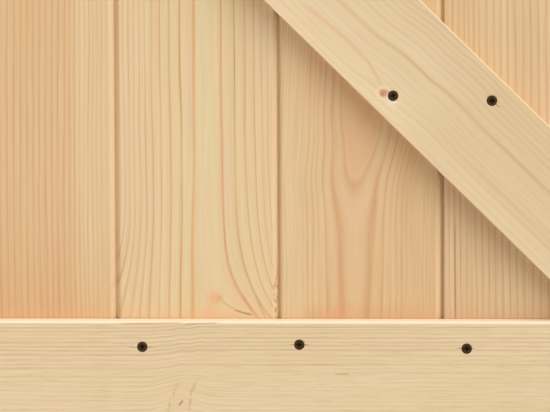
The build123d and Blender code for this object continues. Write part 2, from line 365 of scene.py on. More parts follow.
def along(axis, test=None):  # edges that run along an axis, where their middle passes the test
    def pick(edge):
        run = (edge.verts[1].co - edge.verts[0].co).normalized()
        return abs(run[axis]) > 0.99 and (test is None or test((edge.verts[0].co + edge.verts[1].co) / 2))
    return pick


def asObject(shape, name):
    mesh = bpy.data.meshes.new(name)
    shape.to_mesh(mesh)
    shape.free()
    made = bpy.data.objects.new(name, mesh)
    bpy.context.scene.collection.objects.link(made)
    return made


def cut(shape, tool, operation="DIFFERENCE"):
    body, knife = asObject(shape, "body"), asObject(tool, "knife")
    work = body.modifiers.new("cut", "BOOLEAN")
    work.object = knife
    work.operation = operation
    work.solver = "EXACT"
    work.use_self = True
    bpy.context.view_layer.update()
    mesh = bpy.data.meshes.new_from_object(body.evaluated_get(bpy.context.evaluated_depsgraph_get()))
    made = bmesh.new()
    made.from_mesh(mesh)
    for used in (body, knife):
        old = used.data
        bpy.data.objects.remove(used)
        bpy.data.meshes.remove(old)
    bpy.data.meshes.remove(mesh)
    return made


def copyOf(node):  # a CAD node in millimetres, welded, with its flat faces whole again
    shape = bmesh.new()
    shape.from_mesh(nodes[node].data)
    bmesh.ops.scale(shape, vec=(1000, 1000, 1000), verts=shape.verts)
    bmesh.ops.remove_doubles(shape, verts=shape.verts, dist=weld["cad"])
    flat = math.radians(weld["flat"])
    bmesh.ops.dissolve_limit(shape, angle_limit=flat, verts=shape.verts, edges=shape.edges)
    return shape


def boxesOf(node):  # the box of each solid in a CAD node, in millimetres
    shape = copyOf(node)
    left = set(shape.verts)
    boxes = []
    while left:
        group, queue = set(), [left.pop()]
        while queue:
            vert = queue.pop()
            group.add(vert)
            near = [edge.other_vert(vert) for edge in vert.link_edges]
            queue += [other for other in near if other in left]
            left.difference_update(near)
        corners = [[pick(vert.co[i] for vert in group) for i in range(3)] for pick in (min, max)]
        boxes.append((Vector(corners[0]), Vector(corners[1])))
    shape.free()
    return sorted(boxes, key=lambda box: (round(box[0].x, 1), round(box[0].z, 1)))


def middles(node):
    return [(low + high) / 2 for low, high in boxesOf(node)]


def axisOf(low, high):  # where the axis of a round piece crosses the plane of X and Z
    return ((low.x + high.x) / 2, 0, (low.z + high.z) / 2)


def sizeOf(node):
    low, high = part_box(node)
    return low / mm, high / mm


def show(name, shape, material, *stoodFor, sharp=38):
    bmesh.ops.scale(shape, vec=(mm, mm, mm), verts=shape.verts)
    made = asObject(shape, name)
    made.data.materials.append(material)
    made.data.shade_smooth()
    made.data.set_sharp_from_angle(angle=math.radians(sharp))
    level = made.modifiers.new("level", "WEIGHTED_NORMAL")
    level.keep_sharp = True
    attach(made, nodes[stoodFor[0]]["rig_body"])
    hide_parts(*stoodFor)
    return made


# Pine: the colours that all its boards are mixed from, and what they share
pine = {
    "ochre": shade(200, 146, 90),
    "red": shade(213, 144, 100),
    "umber": shade(150, 100, 58),
    "blush": shade(233, 193, 160),
    "yellow": shade(230, 209, 156),
    "orange": shade(219, 172, 122),
    "paleAndHighlight": shade(241, 222, 192),  # pale wood, and the colour of painted highlights on lit arrises and screw seats
    # painted highlight on a vee face, and painted light on the outer band of the other
    "vee": shade(237, 208, 166),
    "foot": shade(236, 180, 144),
    # painted contact shadow along a board's foot at the rail
    "footShadow": shade(176, 118, 78),
    "shadeRed": shade(186, 132, 92),
    "sawn": shade(196, 152, 106),  # end grain
    "knot": shade(200, 138, 98),
    # resin, and also painted shade in the depth of a vee
    "pitch": shade(120, 74, 48),
    # painted shade in the depth of a vee
    "gloom": shade(120, 88, 42),
    "roughness": 0.52,
    "shine": 0.3,
    "relief": 0.00006,  # how deep the grain is, in metres
    "reliefStrength": 0.5,
    "sawnBand": (0.05, 0.3),  # end grain shows this near to a board's end
    "sawnAmount": 0.5,
}

# What a look has where its own entry says nothing else. Lengths are in millimetres
usualLook = {
    "wave": 3.0,  # how far the lines stray
    "calm": None,  # between these two distances across the grain, plain wood turns lively
    "fullWidth": 4.0,  # a year as wide as this has a line of full thickness
    "thick": 1.0,
    "broken": 90,  # how long the darker stretches of the lines are
    "line": pine["ochre"],
    "reds": 0.45,  # how much of the lines is red
    "blush": 0.5,
    "hues": 0.0,  # how far single years differ in colour
    "streaks": 0.45,
    "dashes": 0,
    "fibre": 0.26,
    "comb": 0.25,
    "combLong": 60,
    "flecks": 0.12,
    "washes": lambda *where: [],
    "edges": lambda *where: [],
}


def growth(recipe, across, years):
    # Turns a distance across the grain into dark lines. Each entry of years is a line's place, how many
    # years have passed since the one before, and how dark it is. Gives the year, how far on in it a point
    # is, the year's width in millimetres and the darkness of its line
    start, end = years[0][0], years[-1][0]
    total = sum(count for place, count, dark in years)
    widest = 40
    age, before = 0, start
    ages, widths, darks = [], [], []
    for place, count, dark in years:
        age += count
        wide = (place - before) / count if count else (years[1][0] - start) / years[1][1]
        ages.append(((place - start) / (end - start), age / total))
        widths.append((age / total, wide / widest))
        darks.append((age / total, dark))
        before = place
    age = recipe.ramp((across - start) / (end - start), ages)
    year = age * total
    return year, recipe.maths("FRACT", year), recipe.ramp(age, widths) * widest, recipe.ramp(age, darks)


def woodBody(recipe, look, u, v, w, across):
    # The colour and the relief of pine. u runs across the face, v into it and w along the grain
    seed = look["seed"]
    slow = recipe.noise(across / 12 + seed, v / 60, w / 120, 2)
    across = across + (slow - 0.5) * look["wave"]
    lively = across.ease(*look["calm"]) if look["calm"] else 1
    year, part, wide, dark = growth(recipe, across, look["years"])
    reach = recipe.maths("MINIMUM", wide / look["fullWidth"], 1)
    gap = recipe.maths("MINIMUM", part, 1 - part) * wide / reach
    line = gap.bell(0, look["thick"])
    late = line + part ** 3 * 0.3 * (1 - line)
    strength = recipe.noise(across / 2.5 + seed, v / 20, w / look["broken"] + seed, 1)
    late = late * dark * (0.25 + strength * 1.5)
    redness = recipe.noise(year / 1.7 + seed, v / 90, w / 160, 1).ease(0.42, 0.58) * look["reds"]
    patch = recipe.noise(u / 30 + seed, v / 40, w / 260, 1)
    tint = recipe.noise(u / 24, v / 40 + seed, w / 330, 1)
    hue = recipe.noise(year * 0.9 + seed, v / 60, w / 220, 1)
    streak = recipe.noise(across / 1.9, v / 1.9, w / 150 + seed, 2)
    dash = recipe.noise(across / 1.1 + seed, v / 3, w / 20, 1)
    fibre = recipe.noise(u / 0.6, v / 0.6 + seed, w / 42, 3, 0.6)
    fleck = recipe.noise(u / 0.6 + seed, v / 0.6, w / 6, 1)
    comb = (recipe.noise(across / 1.2 + seed, v / 3, w / look["combLong"], 2, 0.55) - 0.5) * lively
    layers = [
        (tint.ease(0.45, 0.7) * look["blush"], pine["blush"]),
        *look["washes"](u, w),
        (hue.ease(0.5, 0.62) * look["hues"], pine["blush"]),
        ((1 - hue.ease(0.38, 0.5)) * look["hues"], pine["yellow"]),
        ((streak - 0.4) * look["streaks"] * lively, pine["ochre"]),
        (dash.ease(0.6, 0.74) * look["dashes"], pine["umber"]),
        ((1 - dash.ease(0.27, 0.4)) * look["dashes"] * 1.3, pine["paleAndHighlight"]),
        (late, recipe.blendColours(redness, look["line"], pine["red"])),
        ((fibre - 0.5) * look["fibre"], pine["umber"]),
        (comb * look["comb"], pine["umber"]),
        (comb * look["comb"] * -1, pine["paleAndHighlight"]),
        (fleck.ease(0.72, 0.82) * look["flecks"], pine["umber"]),
    ]
    body = recipe.blendColours(patch.ease(0.35, 0.65), look["pale"], look["deep"])
    return recipe.layered(body, layers), fibre * 0.5 + late * 0.5


def pineMaterial(name, look, shift, turn=(0, 0, 0), order="xyz", ends=None):
    recipe = Recipe(name)
    look = {**usualLook, **look}
    x, y, z = recipe.place(shift, turn)
    u, v, w = (x, y, z) if order == "xyz" else (z * -1, y, x)
    across, spots = look["grain"](recipe, u, v, w)
    body, relief = woodBody(recipe, look, u, v, w, across)
    layers = spots + look["edges"](recipe, u, v, w)
    if ends:
        near, far = pine["sawnBand"]
        sawn = w.ease(ends[1] - far, ends[1] - near) + 1 - w.ease(ends[0] + near, ends[0] + far)
        layers.append((sawn * pine["sawnAmount"], pine["sawn"]))
    bumps = recipe.bump(relief, pine["relief"], pine["reliefStrength"])
    shine = {"Specular IOR Level": pine["shine"]}
    return recipe.finish(recipe.layered(body, layers), pine["roughness"], bumps, **shine)


def flank(wide, torn=0.0, gloom=(0.4, 1.8, 0.1), pale=0.0, deep="pitch"):
    # A board's two vee faces, with painted light and shade. The left one, facing away from the light, is
    # painted red as painted shade, darker in its depth, with a painted lighter band on its outer part. The
    # right one, facing the light, is painted pale as a painted highlight, and torn near the rail
    def edges(recipe, u, v, w):
        front = 1 - v.ease(3.4, 4.2)
        rough = recipe.noise(u / 3, 0, w / 11, 2)
        # painted highlight on the right vee face, which faces the light
        soft = (u + rough * 1.4).ease(wide - 3.6, wide - 2.4)
        tear = recipe.noise(u / 1.5, 4, w / 6, 1).ease(0.5, 0.62)
        bite = tear * (1 - w.ease(10, 60)) * torn
        # painted red shade on the left vee face, which faces away from the light
        red = 1 - (u + rough * 0.7).ease(3.6, 5.6)
        # painted shade in the depth of the vee
        core = u.ease(0.2, 1.1) * (1 - u.ease(gloom[0], gloom[1]))
        # painted light on the outer band of the left vee face
        rim = u.ease(2.1, 2.9) * (1 - u.ease(3.6, 5))
        spill = recipe.noise(u / 12 + gloom[1] * 5, 2, w / 20, 1).ease(0.35, 0.6) * 0.8 + 0.2
        foot = (1 - w.ease(0, 12)) * w.ease(-1, 0.5) * spill
        # painted contact shadow along the board's foot at the rail
        footShadow = (1 - w.ease(0.4, 1.3)) * front
        return [(foot * front * 0.3, pine["foot"]), (footShadow * 0.35, pine["footShadow"]),
                (red * front * 0.3, pine["shadeRed"]), (core * gloom[2], pine[deep]),
                (rim * front * pale, pine["vee"]), (soft * front * 0.68, pine["vee"]),
                (bite * front * u.ease(wide - 4, wide - 3), pine["shadeRed"])]
    return edges


def mark(u, w, points, width, fade=2.0):
    # A soft line through two points, as (u, w), that thins out towards its ends
    (u0, w0), (u1, w1) = points
    long = math.hypot(u1 - u0, w1 - w0)
    cu, cw = (u1 - u0) / long, (w1 - w0) / long
    run = (u - u0) * cu + (w - w0) * cw
    off = (u - u0) * cw - (w - w0) * cu
    start, end = run.ease(-fade, fade), 1 - run.ease(long - fade, long + fade)
    return off.bell(0, width) * start * end


def marks(u, w, *lines):  # several soft lines, each with its points, width and fade
    return sum(mark(u, w, *line) for line in lines)


def heart(middle, deep, taper, knots=()):
    # Rings round a pith that runs behind the wood, a little askew to it, and that swell round small knots
    def grain(recipe, u, v, w):
        drift = recipe.noise(w / 420 + middle, 3, 7, 1) - 0.5
        off = u - middle - drift * 26
        depth = v + deep + w * taper
        across = recipe.maths("SQRT", off * off + depth * depth)
        spots = []
        for place, height, size in knots:
            du, dw = u - place, w - height
            swell = recipe.maths("EXPONENT", (du * du + dw * dw / 9) / (-5 * size * size))
            across = across + swell * size * 2.2
            far = recipe.maths("SQRT", du * du + dw * dw)
            spots += [
                ((1 - far.ease(size * 0.8, size * 1.1)) * 0.7, pine["knot"]),
                (far.bell(size, 0.7) * 0.45, pine["pitch"]),
                (far.bell(0, size * 0.45) * 0.4, pine["umber"]),
            ]
        return across, spots
    return grain


def grain4(recipe, u, v, w):
    # Straight lines that sway a little
    lean = recipe.maths("SINE", w / 60) * 0.7
    return u + lean + v * 0.35, []


def wash4(u, w):
    return [
        ((1 - u.ease(92, 106)) * 0.5, pine["orange"]),
        ((1 - w.ease(-10, 110)) * 0.45, pine["orange"]),
    ]


def grain5(recipe, u, v, w):
    # Upright lines that fan out to the left at the rail, and swing round a knot behind it on the right
    low = 1 - w.ease(-6, 92)
    fan = recipe.maths("EXPONENT", (u - 4) / -20) * 13 * low
    lean = w.ease(90, 250) * 0.9 * (1 - u.ease(50, 70))
    lean = lean - w.ease(40, 140) * u.bell(63, 6) * 2
    near = recipe.maths("EXPONENT", recipe.maths("ABSOLUTE", w) / -33) * 30
    burnt = marks(u, w, (((101, 19), (113, 1)), 1.2, 5), (((113, 16), (120, 1)), 1.2, 5))
    across = u + fan + lean - near * u.ease(60, 108)
    glow = mark(u, w, ((74.5, 16), (85, 17)), 5.2, 4) * 0.5
    glow = glow + u.bell(77, 8) * w.bell(3, 8) * 0.3
    return across + v * 0.3, [
        (burnt * 0.3, pine["umber"]),
        (across.bell(62.6, 1.7) * 0.4, shade(230, 176, 116)),
        (across.bell(84.4, 1.7) * (1 - w.ease(20, 60)) * 0.3, shade(230, 176, 116)),
        (across.bell(84.2, 1.7) * w.ease(60, 100) * 0.3, shade(232, 180, 130)),
        (glow, shade(230, 160, 112)),
        (u.bell(83.5, 2.2) * w.bell(16.5, 2.4) * 0.25, pine["shadeRed"]),
        (u.bell(87, 5) * w.bell(9, 2.5) * 0.6, shade(232, 200, 142)),
        (u.bell(92, 12) * w.bell(2.6, 1.6) * 0.4, shade(236, 180, 138)),
        (mark(u, w, ((85, 14), (96.5, 6.8)), 1.2, 3) * 0.2, pine["umber"]),
        (mark(u, w, ((96, 6.8), (102, 4.8)), 0.7, 2) * 0.75, pine["umber"]),
        (mark(u, w, ((102, 4.8), (109, 3.2)), 0.7, 1.5) * 0.75, pine["umber"]),
    ]


def wash5(u, w):
    return [
        ((1 - u.ease(30, 62)) * 0.22, pine["blush"]),
        (u.ease(84, 104) * 0.25, pine["blush"]),
    ]


def grain6(recipe, u, v, w):
    # Nested arches, upside down. Below the tip of the innermost one the lines run straight to the rail
    rise = w.ease(60, 185) * 430 + w.ease(0, 60) * 40
    du = u - 61.2 - w.ease(104, 150) * 5.5 - recipe.maths("MAXIMUM", w - 150, 0) * 0.05
    flame = u.bell(50.5, 2.6) * w.bell(12, 62) * 0.24
    bands = marks(u, w, (((71.8, -5), (74.9, 48)), 1.7), (((74.9, 48), (78, 95)), 1.7))
    across = recipe.maths("SQRT", du * du + 900 - rise + v * 20)
    return across, [
        ((1 - across.ease(26.4, 27.1)) * 0.65, shade(224, 178, 132)),
        (flame * 1.2, shade(220, 142, 106)),
        (bands * 0.3, pine["ochre"]),
        (u.bell(46, 7) * w.bell(-2, 8) * 0.25, pine["red"]),
        (u.bell(60.7, 2.2) * w.bell(108, 6) * 0.14, pine["ochre"]),
        (u.bell(49.2, 4.5) * w.bell(4, 6) * 0.24, shade(240, 160, 130)),
    ]


def wash6(u, w):
    return [
        ((1 - u.ease(16, 32)) * 0.8, shade(228, 199, 154)),
        ((1 - w.ease(2, 16)) * u.ease(14, 30) * 0.5, shade(208, 168, 118)),
        (u.ease(80, 100) * 0.6, shade(219, 181, 135)),
        # painted warm light in the brace's shadow: lighter and redder
        (u.bell(32, 15) * w.ease(150, 185) * 0.4, shade(234, 186, 142)),
        (u.bell(72, 5) * w.bell(161, 7) * 0.35, shade(206, 164, 120)),
        (u.bell(61, 11) * (1 - w.ease(40, 120)) * 0.5, shade(224, 188, 142)),
    ]


def grain7(recipe, u, v, w):
    # Lines that lean a little, and a fine dark one beside the vee
    return u + (w - 60) * 0.012 + v * 0.45, [
        (mark(u, w, ((11.3, -20), (10.9, 75)), 0.5, 12) * 0.65, pine["umber"]),
    ]


def wash7(u, w):
    return [((1 - w.ease(2, 16)) * 0.2, shade(196, 164, 118))]


def grainRail(recipe, u, v, w):
    # Level lines that climb a little, ripple, and open round the scar of a small branch
    climb = w.ease(26, 78) * 4
    ripple = recipe.maths("SINE", w / 2.6) * w.bell(58, 17) * 0.45
    lift = w.bell(55, 16) * u.bell(66, 26) * 7
    scar = marks(u, w, (((44, 53), (57, 47.8)), 1.3, 5), (((57, 47.8), (74, 43.5)), 1.5, 5),
                 (((46, 67), (57, 62)), 1.2, 5), (((57, 62), (74, 59.5)), 1.2, 5))
    scar = scar * recipe.noise(u / 4, 0, w / 3, 1).ease(0.35, 0.65) * u.ease(43, 54)
    pink = w.bell(52.6, 3.6) * u.bell(64, 7)
    pale = marks(u, w, (((20.2, 17), (21, 22)), 0.7, 1), (((21.8, 144.5), (22.4, 151)), 0.5, 1))
    return u + climb + ripple + lift + v * 0.8, [
        (scar * 0.55, pine["ochre"]),
        (pink * 0.7, pine["blush"]),
        (mark(u, w, ((63, 55.2), (67, 52.4)), 0.65, 1.2) * 0.7, pine["pitch"]),
        (mark(u, w, ((41.9, 176), (42.1, 187)), 0.6) * 0.6, pine["shadeRed"]),
        (pale, pine["paleAndHighlight"]),
    ]


def railEdges(recipe, u, v, w):
    # The rail's upper arris, painted lighter as a painted highlight where it faces the light, with a splinter
    # and a hair crack along it
    # painted highlight along the upper arris
    high = 1 - u.ease(1.2, 2.6)
    splinter = w.ease(3, 9) * (1 - w.ease(50, 58)) * (u - (55 - w) / 60).bell(1.4, 0.5)
    hair = w.ease(55, 60) * (1 - w.ease(80, 86)) * (u - (86 - w) / 30).bell(1.3, 0.35)
    return [(high, pine["paleAndHighlight"]), (splinter * 0.8, pine["red"]), (hair * 0.7, pine["umber"])]


def grainBrace(recipe, u, v, w):
    # Lines a little askew to the brace, which sway and part round a pin knot beside the screw
    du, dw = u - 29.4, w - 328.2
    flat = dw / 2.2
    gap = du * du + flat * flat
    drift = w.ease(288, 326) * 3.9 + w.ease(343, 366) * 2 - w.ease(377, 405) * 1.2
    across = u + drift + (w - 330) * 0.01 - du * 22 / (gap + 22)
    far = recipe.maths("SQRT", du * du + dw * dw)
    eu, ew = u - 29.8, w - 328.6
    eye = 1 - recipe.maths("SQRT", eu * eu + ew * ew).ease(0.4, 1.5)
    vein = marks(u, w, (((22.7, 237), (19.4, 280)), 1.5, 6), (((19.4, 280), (19.9, 301)), 1.5, 5),
                 (((19.9, 301), (25, 321)), 1.2, 5))
    cu, cw = u - 25.2, w - 335  # from the middle of the screw; the lower side of its seat, whose slope faces the light, gets a painted highlight
    off = recipe.maths("SQRT", cu * cu + cw * cw)
    under = ((cu * 0.78 + cw * 0.62) / (off + 0.01)).ease(0.35, 0.95)
    # painted highlight on the lower side of the screw's seat
    seatHighlight = under * (off.bell(5.5, 1.0) * 0.9 + off.bell(7.6, 2.2) * 0.35)
    return across + v * 0.5, [
        (vein * 0.32, pine["red"]),
        (u.bell(16.5, 4) * w.bell(289, 8) * 0.3, pine["blush"]),
        (u.bell(24, 4) * w.bell(248, 9) * 0.3, pine["blush"]),
        (far.bell(5, 1.0) * 0.4, pine["paleAndHighlight"]),
        ((1 - far.ease(2.2, 3.6)) * 0.85, pine["knot"]),
        (eye * 0.35, pine["umber"]),
        (seatHighlight, pine["paleAndHighlight"]),
    ]


def braceWash(u, w):
    return [
        (u.ease(8, 40), shade(236, 211, 170)),
        (1 - u.ease(-40, -4), shade(224, 197, 156)),
        (w.ease(335, 392) * (0.95 - u.ease(24.5, 28.5) * 0.45), shade(223, 196, 153)),
    ]


def braceEdges(recipe, u, v, w):
    # A painted highlight along the brace's upper arris, which faces the light
    return [((1 - u.ease(-42.2, -41.3)) * 0.8, pine["paleAndHighlight"])]


# The wood that the photo shows. How years is read is said in growth
looks = {
    "board_4": {
        "seed": 4.3, "grain": grain4, "washes": wash4, "edges": flank(130, 0.2),
        "pale": shade(229, 202, 159), "deep": shade(226, 197, 152), "thick": 0.7,
        "years": [(0, 0, 0.4), (20, 3, 0.5), (50, 5, 0.5), (80, 6, 0.45), (90, 2, 0.5), (94.5, 1, 0.4),
                  (98.2, 1, 0.45), (102.3, 1, 0.38), (105.8, 1, 0.3), (109.3, 1, 0.42), (112.6, 1, 0.3),
                  (116.2, 1, 0.2), (119.9, 1, 0.26), (124, 1, 0.2), (136, 3, 0.15)],
    },
    "board_5": {
        "seed": 5.1, "grain": grain5, "washes": wash5, "edges": flank(130, 0.8, (0, 1, 0)),
        "pale": shade(229, 205, 160), "deep": shade(227, 202, 155), "line": shade(202, 150, 92),
        "blush": 0.0, "thick": 0.62, "reds": 0.35, "hues": 0.3,
        "years": [(-6, 0, 0.2), (0.5, 2, 0.15), (4.2, 1, 0.25), (8.0, 1, 0.35), (12.2, 1, 0.5),
                  (16.3, 1, 0.35), (20.4, 1, 0.35), (25.3, 1, 0.42), (30.4, 1, 0.5), (37.7, 1, 0.55),
                  (45.0, 1, 0.62), (53.2, 1, 0.85), (61.6, 1, 0.62), (78.5, 1, 0), (85.3, 1, 0.7),
                  (95.8, 1, 0.78), (104.1, 1, 0.58), (111.8, 1, 0.58), (117.7, 1, 0.35), (122.2, 1, 0.3),
                  (140, 4, 0.2)],
    },
    "board_6": {
        "seed": 6.7, "grain": grain6, "washes": wash6, "edges": flank(130, 0, (1.2, 2.6, 0.2), 0.35),
        "pale": shade(226, 192, 146), "deep": shade(222, 186, 139), "blush": 0.2, "fullWidth": 3.5,
        "thick": 0.75, "reds": 0.4, "comb": 0.45, "hues": 0.08, "calm": (22, 27),
        "years": [(8, 0, 0), (15.5, 1, 0.02), (19.5, 1, 0.26), (22.6, 1, 0.34), (25.45, 1, 0.1),
                  (26.85, 1, 0.34), (31.9, 1, 0.5), (36.9, 1, 0.4), (40.9, 1, 0.22), (44.0, 1, 0.32),
                  (47.3, 1, 0.38), (50.5, 1, 0.22), (52.7, 1, 0.18), (55, 1, 0.24), (57.1, 1, 0.2),
                  (59, 1, 0.18), (62.4, 1, 0.24), (64.8, 1, 0.15), (67.3, 1, 0.3), (69.5, 1, 0.2),
                  (73, 1, 0.15), (90, 6, 0.15)],
    },
    "board_7": {
        "seed": 7.9, "grain": grain7, "washes": wash7, "edges": flank(130, 0, (1.8, 3.0, 0.42), 0.5, "gloom"),
        "pale": shade(223, 194, 151), "deep": shade(218, 187, 144), "blush": 0.25, "thick": 0.8,
        "comb": 0.45, "hues": 0.15,
        "years": [(-5, 0, 0.2), (3, 2, 0.3), (6.8, 1, 0.42), (11.0, 1, 0.55), (15.5, 1, 0.5),
                  (20.3, 1, 0.5), (24, 1, 0.3), (27.4, 1, 0.42), (32, 1, 0.42), (60, 5, 0.48),
                  (140, 13, 0.48)],
    },
}
railLook = {
    "seed": 2.2, "grain": grainRail, "edges": railEdges, "line": pine["umber"],
    "pale": shade(231, 206, 165), "deep": shade(229, 204, 161), "blush": 0.15, "wave": 1.6,
    "fullWidth": 3.0, "thick": 0.6, "dashes": 0.16, "comb": 0.6, "combLong": 30, "broken": 45,
    "years": [(-2, 0, 0.1), (2.4, 1, 0.2), (5.4, 1, 0.26), (8.7, 1, 0.26), (11, 1, 0.16), (13.5, 1, 0.2),
              (17.4, 1, 0.26), (20.5, 1, 0.26), (23.6, 1, 0.2), (26.8, 1, 0.26), (31.5, 1, 0.14),
              (35, 1, 0.13), (38, 1, 0.18), (45, 1, 0.12), (56, 3, 0.08), (75, 5, 0.07), (150, 20, 0.07)],
}
braceLook = {
    "seed": 3.4, "grain": grainBrace, "washes": braceWash, "edges": braceEdges,
    "pale": shade(230, 206, 165), "deep": shade(228, 203, 161), "line": shade(188, 146, 98),
    "blush": 0.1, "wave": 2.0, "fibre": 0.16, "thick": 1.3, "streaks": 0.3, "reds": 0.35,
    "dashes": 0.05, "comb": 0.4, "hues": 0.12,
    "years": [(-50, 0, 0.1), (-45, 1, 0.17), (-40.5, 1, 0.15), (-36, 1, 0.18), (-31, 1, 0.2),
              (-26.5, 1, 0.15), (-22.3, 1, 0.2), (-17, 1, 0.14), (-12.7, 1, 0.2), (-7, 1, 0.15),
              (-3.5, 1, 0), (0.6, 1, 0.42), (11, 1, 0.05), (16, 1, 0), (22.8, 1, 0.08), (27, 1, 0.12),
              (33, 1, 0.16), (38, 1, 0.1), (44, 1, 0.12), (50, 1, 0.1), (60, 2, 0.05)],
}


# Wood that the photo doesn't show, with lines about a step apart
def otherLook(seed, grain, wide=0, step=5.2, dark=0.42, warm=0.0, **more):
    years = [(0, 0, dark * 0.5), (60, round(60 / step), dark), (110, round(62 / step), dark * 0.75),
             (190, round(110 / step), dark)]
    look = {"seed": seed, "grain": grain, "years": years, "blush": 0.35,
            "pale": shade(228, 201, 157), "deep": shade(224, 193, 148),
            "washes": lambda u, w: [(warm, pine["orange"])], **more}
    if wide:
        look["edges"] = flank(wide)
    return look


looks["board_1"] = otherLook(1.7, heart(96, 14, 0.004), 60, 4.2, 0.36, 0.1)
looks["board_2"] = otherLook(2.9, heart(58, 34, 0.016, ((34, 470, 4.0), (92, -610, 5.0))), 130, 6.0,
                             warm=0.12)
looks["board_3"] = otherLook(3.8, heart(-46, 30, 0.012, ((101, -330, 3.2),)), 130, 4.8, 0.38)
looks["board_8"] = otherLook(8.6, heart(-34, 18, 0.006, ((41, 690, 2.8),)), 60, 4.4, 0.36, 0.2)
topHeart, footHeart = heart(-38, 40, 0.02), heart(88, 26, -0.02, ((36, 212, 5.5),))
railLooks = {
    "middle_rail": railLook,
    "top_rail": otherLook(11.3, topHeart, step=4.0, dark=0.26, reds=0.7, dashes=0.12),
    "bottom_rail": otherLook(12.6, footHeart, step=5.0, dark=0.3, reds=0.6, dashes=0.12),
}
lowerHeart = heart(-64, 24, 0.02, ((14, -231, 3.6),))
braceLooks = {
    "upper_brace": braceLook,
    "lower_brace": otherLook(13.8, lowerHeart, step=4.6, dark=0.26, reds=0.5),
}
headerHeart = heart(64, 30, 0.011, ((104, -510, 6.0), (31, 398, 4.0)))
headerLook = otherLook(9.1, headerHeart, step=5.4, dark=0.4)


def boardShift(node):  # a board's grain starts at its left side, its front and the top of the middle rail
    low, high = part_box(node)
    return (-low.x / mm, -low.y / mm, -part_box("middle_rail")[1].z / mm)


# Boards, with their arrises taken off, more so beside the groove
boards = {
    "count": 8,
    "easing": 0.45,
    "steps": 2,
    "arris": 1.3,
    "arrisSteps": 4,
    "vee": 3.3,
    "gap": 0.3,  # between the shoulders of two boards in the CAD
    "seam": 0.025,  # half of what is left of that gap here
}
firstSides = [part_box(f"board_{number}")[0].x / mm for number in range(2, boards["count"] + 1)]
seams = [side - boards["gap"] / 2 for side in firstSides]


def cramp(shape):  # brings the shoulders of two boards together, as cramps do
    for vert in shape.verts:
        for seam in seams:
            off = vert.co.x - seam
            if abs(abs(off) - boards["gap"] / 2) < 0.02:
                vert.co.x = seam + math.copysign(boards["seam"], off)
    return shape


def atSeam(edge, front):  # the foot of a vee stays sharp
    at = (edge.verts[0].co + edge.verts[1].co) / 2
    inVee = at.y < front + boards["vee"] + 1 and any(abs(at.x - seam) < 0.1 for seam in seams)
    return inVee and along(2)(edge)


for number in range(1, boards["count"] + 1):
    node = f"board_{number}"
    low, high = sizeOf(node)
    corner = Vector((low.x + boards["vee"], low.y))
    shape = cramp(copyOf(node))
    bend(shape, along(2, lambda at: (at.xy - corner).length < 0.5), boards["arris"], boards["arrisSteps"])
    bend(shape, lambda edge: outer()(edge) and not atSeam(edge, low.y), boards["easing"], boards["steps"])
    shift = boardShift(node)
    ends = (low.z + shift[2], high.z + shift[2])
    show(f"plank_{number}", shape, pineMaterial(node + "_pine", looks[node], shift, ends=ends), node)
print("boards are made")

# Rails and braces, with a crushed seat and a short split at each screw
seat = {
    "rim": 5.7,
    "rimPlay": (-0.15, 0.25),
    "floor": 4.05,
    "depth": 0.4,
    "pilot": 1.6,
    "pilotDepth": 3.2,
    "split": (9.0, 12.5),
    "splitWidth": 0.45,
    "splitDepth": 5.0,
    "splitPlay": (1.2, 0.6),  # how far a split strays along the grain and across it
}
rail = {"arris": 2.5, "steps": 6, "endEasing": 0.8, "endSteps": 2, "grainStart": 420.0}
brace = {
    "wide": 85.0,
    "blank": 900,  # half of its length before its ends are sawn
    "upperArris": 1.2,
    "lowerArris": 0.5,
    "steps": 4,
    "splitReach": 0.7,
}
rails = ("top_rail", "middle_rail", "bottom_rail")
braces = ("upper_brace", "lower_brace")
braceAngle = math.atan2(0.86, 0.8772)  # its rise and its run between two rails, in metres


def seats(node, face, angle, reach=1.0):  # what the screws press out of the wood's face
    draw = random.Random(node)
    made = []
    for place in middles(node + "_screws"):
        rim, floor, depth = seat["rim"] + draw.uniform(*seat["rimPlay"]), seat["floor"], seat["depth"]
        made.append(spun([(0, -1), (rim + 1, -1), (rim, 0), (floor, depth), (floor - 0.5, depth + 0.05),
                          (seat["pilot"], seat["pilotDepth"]), (0, seat["pilotDepth"])],
                         (place.x, face, place.z), 40))
        long = draw.uniform(*seat["split"]) * reach
        split = bmesh.new()
        bmesh.ops.create_cone(split, cap_ends=True, segments=4, radius1=1, radius2=0.02, depth=1)
        swing(split, -math.pi / 2, "X")
        bmesh.ops.scale(split, vec=(long, seat["splitDepth"], seat["splitWidth"]), verts=split.verts)
        swing(split, angle, "Y")
        alongPlay, acrossPlay = seat["splitPlay"]
        off = Vector((draw.uniform(-alongPlay, alongPlay), 0, draw.uniform(-acrossPlay, acrossPlay)))
        off.rotate(Matrix.Rotation(angle, 3, "Y"))
        sunk = seat["splitDepth"] / 2 - 0.05
        move(split, Vector((place.x, face + sunk, place.z)) + off)
        bmesh.ops.recalc_face_normals(split, faces=split.faces)
        made.append(split)
    return join(*made)


for node in rails:
    low, high = sizeOf(node)
    shape = bend(bar(low, high), along(0, lambda at: at.y < low.y + 1), rail["arris"], rail["steps"])
    bend(shape, lambda edge: outer(60)(edge) and along(2)(edge), rail["endEasing"], rail["endSteps"])
    shape = cut(shape, seats(node, low.y, 0))
    start = rail["grainStart"]
    shift, ends = (start, -low.y, -high.z), (low.x + start, high.x + start)
    material = pineMaterial(node + "_pine", railLooks[node], shift, order="zyx", ends=ends)
    show(node + "_wood", shape, material, node)

